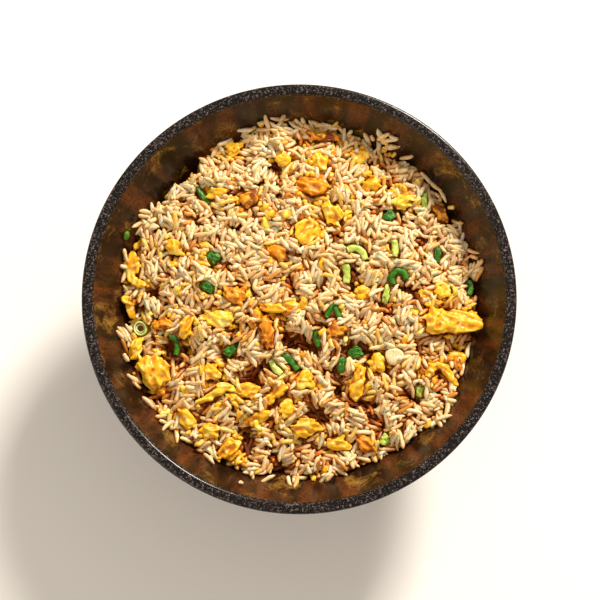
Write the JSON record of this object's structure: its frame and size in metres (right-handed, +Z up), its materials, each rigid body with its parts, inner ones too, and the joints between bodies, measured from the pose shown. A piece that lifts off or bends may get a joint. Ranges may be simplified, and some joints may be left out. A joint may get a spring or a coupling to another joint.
{
  "type": "fried rice bowl",
  "caption": "Egg fried rice with spring onion, heaped in a deep dark glazed stoneware bowl on a foot ring.",
  "frame": {"origin": "centre of the foot ring, on the plane that the bowl stands on", "axes": "+Z up through the bowl's axis, -Y towards the diner as the picture is taken, +X to the diner's right"},
  "size_m": [0.21, 0.21, 0.08],
  "materials": {
    "glaze": "gloss",
    "rice": "satin",
    "egg": "satin",
    "onion": "satin",
    "spring_onion": "satin"
  },
  "bodies": {
    "root": {"bowl": "glaze", "egg_centre_brown": "egg", "egg_centre_right": "egg", "egg_centre_strip": "egg", "egg_front_bent": "egg", "egg_front_broad": "egg", "egg_front_crest": "egg", "egg_front_leaf": "egg", "egg_front_left_end": "egg", "egg_front_left_long": "egg", "egg_front_left_low": "egg", "egg_front_long": "egg", "egg_front_right": "egg", "egg_front_slip": "egg", "egg_front_strip": "egg", "egg_front_upright": "egg", "egg_left_back": "egg", "egg_left_crescent": "egg", "egg_left_edge": "egg", "egg_left_large": "egg", "egg_left_mid": "egg", "egg_left_orange": "egg", "egg_left_oval": "egg", "egg_left_pale": "egg", "egg_left_rear": "egg", "egg_left_upright": "egg", "egg_middle_broad": "egg", "egg_middle_small": "egg", "egg_rear_brown": "egg", "egg_rear_curl": "egg", "egg_rear_middle": "egg", "egg_rear_right": "egg", "egg_rear_shaded": "egg", "egg_rear_small": "egg", "egg_right_crescent": "egg", "egg_right_folded": "egg", "egg_right_orange": "egg", "egg_right_rear": "egg", "onion_slice": "onion", "rice": "rice", "rice_crumb_on_wall": "rice", "spring_onion_arch": "spring_onion", "spring_onion_bent": "spring_onion", "spring_onion_bit_on_wall": "spring_onion", "spring_onion_centre": "spring_onion", "spring_onion_curl": "spring_onion", "spring_onion_edge": "spring_onion", "spring_onion_fold": "spring_onion", "spring_onion_front": "spring_onion", "spring_onion_rear": "spring_onion", "spring_onion_ring": "spring_onion", "spring_onion_slice": "spring_onion", "spring_onion_stalk": "spring_onion", "spring_onion_tuft": "spring_onion"}
  },
  "joints": []
}
